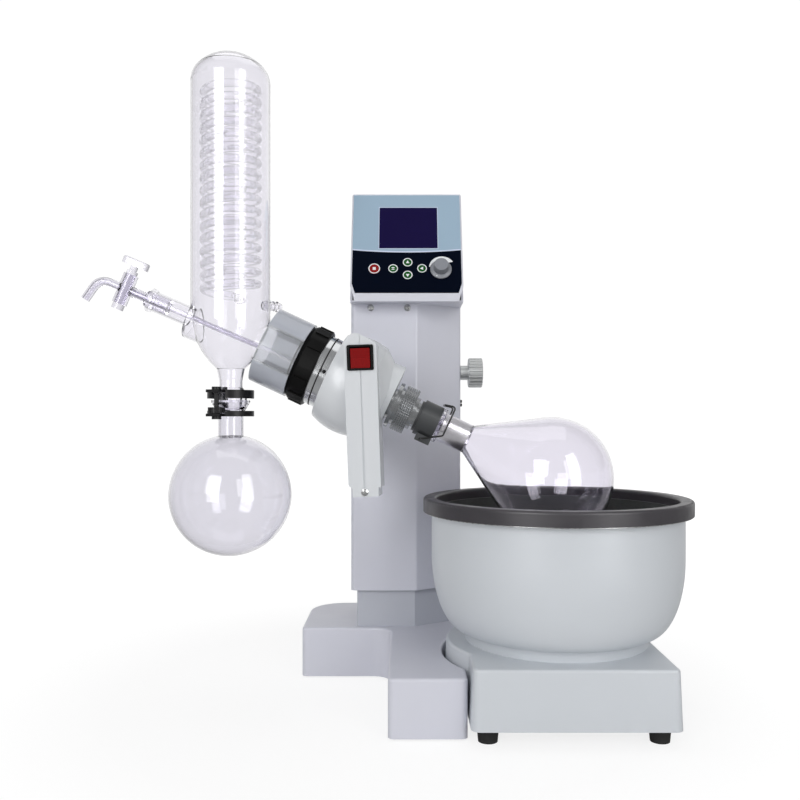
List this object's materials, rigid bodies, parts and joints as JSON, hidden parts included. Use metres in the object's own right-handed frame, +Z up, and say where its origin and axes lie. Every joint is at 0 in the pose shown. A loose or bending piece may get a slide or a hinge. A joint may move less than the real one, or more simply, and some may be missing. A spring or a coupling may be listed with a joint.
{
  "type": "rotary evaporator",
  "caption": "Benchtop rotary evaporator: a worm-driven tilted glass flask over a water bath, an upright coil condenser, a round receiving flask and a lifting column with a control panel.",
  "frame": {"origin": "on the bench, under the middle of the whole instrument", "axes": "+Z up, +X towards the water bath, +Y to the rear of the stand"},
  "size_m": [0.6559, 0.38, 0.7045],
  "materials": {
    "white_paint": "satin powder coat",
    "white_plastic": "smooth moulded",
    "grey_paint": "satin powder coat",
    "steel": "turned",
    "wire": "black coated wire",
    "black_plastic": "moulded",
    "grey_plastic": "moulded",
    "guide_plastic": "low-friction strip",
    "panel_blue": "printed film",
    "screen": "dark blue display",
    "board": "circuit board",
    "red_plastic": "moulded",
    "green_plastic": "moulded",
    "silver_plastic": "silver moulded",
    "grey_guard": "translucent sleeve",
    "clear_glass": "clear borosilicate",
    "pot_coating": "dark non-stick coating",
    "rim_black": "moulded ring",
    "rubber": "soft pads",
    "motor_metal": "plain",
    "brass": "cut",
    "seal_white": "fluoropolymer"
  },
  "bodies": {
    "stand": {"base_shell": "white_paint", "base_bottom_plate": "grey_paint", "base_pads": "rubber", "mast": "grey_paint", "slide_pads": "guide_plastic", "lift_actuator": "motor_metal", "mains_inlet": "black_plastic"},
    "bath": {"bath_base_shell": "white_paint", "bath_base_plate": "grey_paint", "bath_feet": "rubber", "bath_bowl": "white_paint", "bath_pot": "pot_coating", "bath_rim": "rim_black", "bath_heater": "steel", "bath_inlet": "black_plastic"},
    "carriage": {"column_sleeve": "white_paint", "sleeve_top_plate": "grey_paint", "column_screws": "steel", "lift_rod": "steel", "tilt_clamp": "steel", "console_housing": "white_paint", "console_fascia": "panel_blue", "display_window": "screen", "console_circuit_board": "board"},
    "head": {"head_shell_left": "white_plastic", "head_shell_right": "white_plastic", "head_screw": "steel", "switch_bezel": "black_plastic", "tilt_spindle": "steel", "drive_motor": "motor_metal", "shaft_bearings": "steel", "shaft_seal": "seal_white", "vapour_flange": "steel", "union_nut": "black_plastic", "vapour_guard": "grey_guard", "condenser_body": "clear_glass", "condenser_coils": "clear_glass", "stopcock_body": "clear_glass", "feed_tube": "clear_glass", "receiving_flask": "clear_glass", "joint_clamp": "black_plastic"},
    "rotor": {"hollow_shaft": "steel", "worm_wheel": "brass", "vapour_tube": "clear_glass", "flask_clip": "grey_plastic", "evaporating_flask": "clear_glass"},
    "stop_key_body": {"stop_key": "red_plastic"},
    "mode_key_body": {"mode_key": "green_plastic"},
    "up_key_body": {"up_key": "green_plastic"},
    "down_key_body": {"down_key": "green_plastic"},
    "shift_key_body": {"shift_key": "green_plastic"},
    "speed_knob_body": {"speed_knob": "silver_plastic"},
    "tilt_lock_knob_body": {"tilt_lock_knob": "silver_plastic"},
    "rocker_body": {"rocker": "red_plastic"},
    "push_off_nut_body": {"push_off_nut": "steel"},
    "wire_bail_body": {"wire_bail": "wire"},
    "drive_worm_body": {"drive_worm": "steel"},
    "stopcock_key_body": {"stopcock_key": "clear_glass"},
    "clamp_wheel_body": {"clamp_wheel": "black_plastic"}
  },
  "joints": [
    {"name": "bath_slide", "type": "slide", "parent": "stand", "child": "bath", "axis": [1, 0, 0], "range_m": [0, 0.03]},
    {"name": "lift", "type": "slide", "parent": "stand", "child": "carriage", "axis": [0, 0, 1], "range_m": [-0.035, 0.105]},
    {"name": "head_tilt", "type": "hinge", "parent": "carriage", "child": "head", "pos_m": [-0.0215, -0.047, 0.3406], "axis": [0, -1, 0], "range_deg": [0, 20]},
    {"name": "rotor_spin", "type": "hinge", "parent": "head", "child": "rotor", "pos_m": [-0.0215, -0.047, 0.3406], "axis": [0.9063, 0, -0.4226], "continuous": true},
    {"name": "worm_spin", "type": "hinge", "parent": "head", "child": "drive_worm_body", "pos_m": [-0.0215, -0.08961, 0.3406], "axis": [-0.0349, 0, 0.9994], "continuous": true},
    {"name": "push_off_nut_turn", "type": "hinge", "parent": "rotor", "child": "push_off_nut_body", "pos_m": [-0.0215, -0.047, 0.3406], "axis": [0.9063, 0, -0.4226], "range_deg": [0, 360]},
    {"name": "wire_bail_swing", "type": "hinge", "parent": "rotor", "child": "wire_bail_body", "pos_m": [0.03717, -0.047, 0.28897], "axis": [0, -1, 0], "range_deg": [0, 25]},
    {"name": "rocker_swing", "type": "hinge", "parent": "head", "child": "rocker_body", "pos_m": [-0.0226, -0.1065, 0.37208], "axis": [0.9994, 0, 0.0349], "range_deg": [-14, 0]},
    {"name": "stopcock_turn", "type": "hinge", "parent": "head", "child": "stopcock_key_body", "pos_m": [-0.28016, -0.047, 0.45039], "axis": [0.3907, 0, 0.9205], "continuous": true},
    {"name": "clamp_wheel_turn", "type": "hinge", "parent": "head", "child": "clamp_wheel_body", "pos_m": [-0.17558, -0.07331, 0.3193], "axis": [0, 0, 1], "range_deg": [0, 360]},
    {"name": "tilt_lock_turn", "type": "hinge", "parent": "carriage", "child": "tilt_lock_knob_body", "pos_m": [0.0913, 0.095, 0.367], "axis": [1, 0, 0], "range_deg": [0, 180]},
    {"name": "speed_knob_turn", "type": "hinge", "parent": "carriage", "child": "speed_knob_body", "pos_m": [0.06505, 0.03744, 0.48574], "axis": [0, -0.927, 0.375], "range_deg": [0, 300]},
    {"name": "stop_key_press", "type": "slide", "parent": "carriage", "child": "stop_key_body", "axis": [0, 0.927, -0.375], "range_m": [0, 0.0008], "stiffness_N_per_m": 1500},
    {"name": "mode_key_press", "type": "slide", "parent": "carriage", "child": "mode_key_body", "axis": [0, 0.927, -0.375], "range_m": [0, 0.0008], "stiffness_N_per_m": 1500},
    {"name": "up_key_press", "type": "slide", "parent": "carriage", "child": "up_key_body", "axis": [0, 0.927, -0.375], "range_m": [0, 0.0008], "stiffness_N_per_m": 1500},
    {"name": "down_key_press", "type": "slide", "parent": "carriage", "child": "down_key_body", "axis": [0, 0.927, -0.375], "range_m": [0, 0.0008], "stiffness_N_per_m": 1500},
    {"name": "shift_key_press", "type": "slide", "parent": "carriage", "child": "shift_key_body", "axis": [0, 0.927, -0.375], "range_m": [0, 0.0008], "stiffness_N_per_m": 1500}
  ],
  "couplings": [
    {"joint": "worm_spin", "follows": "rotor_spin", "ratio": 12}
  ]
}
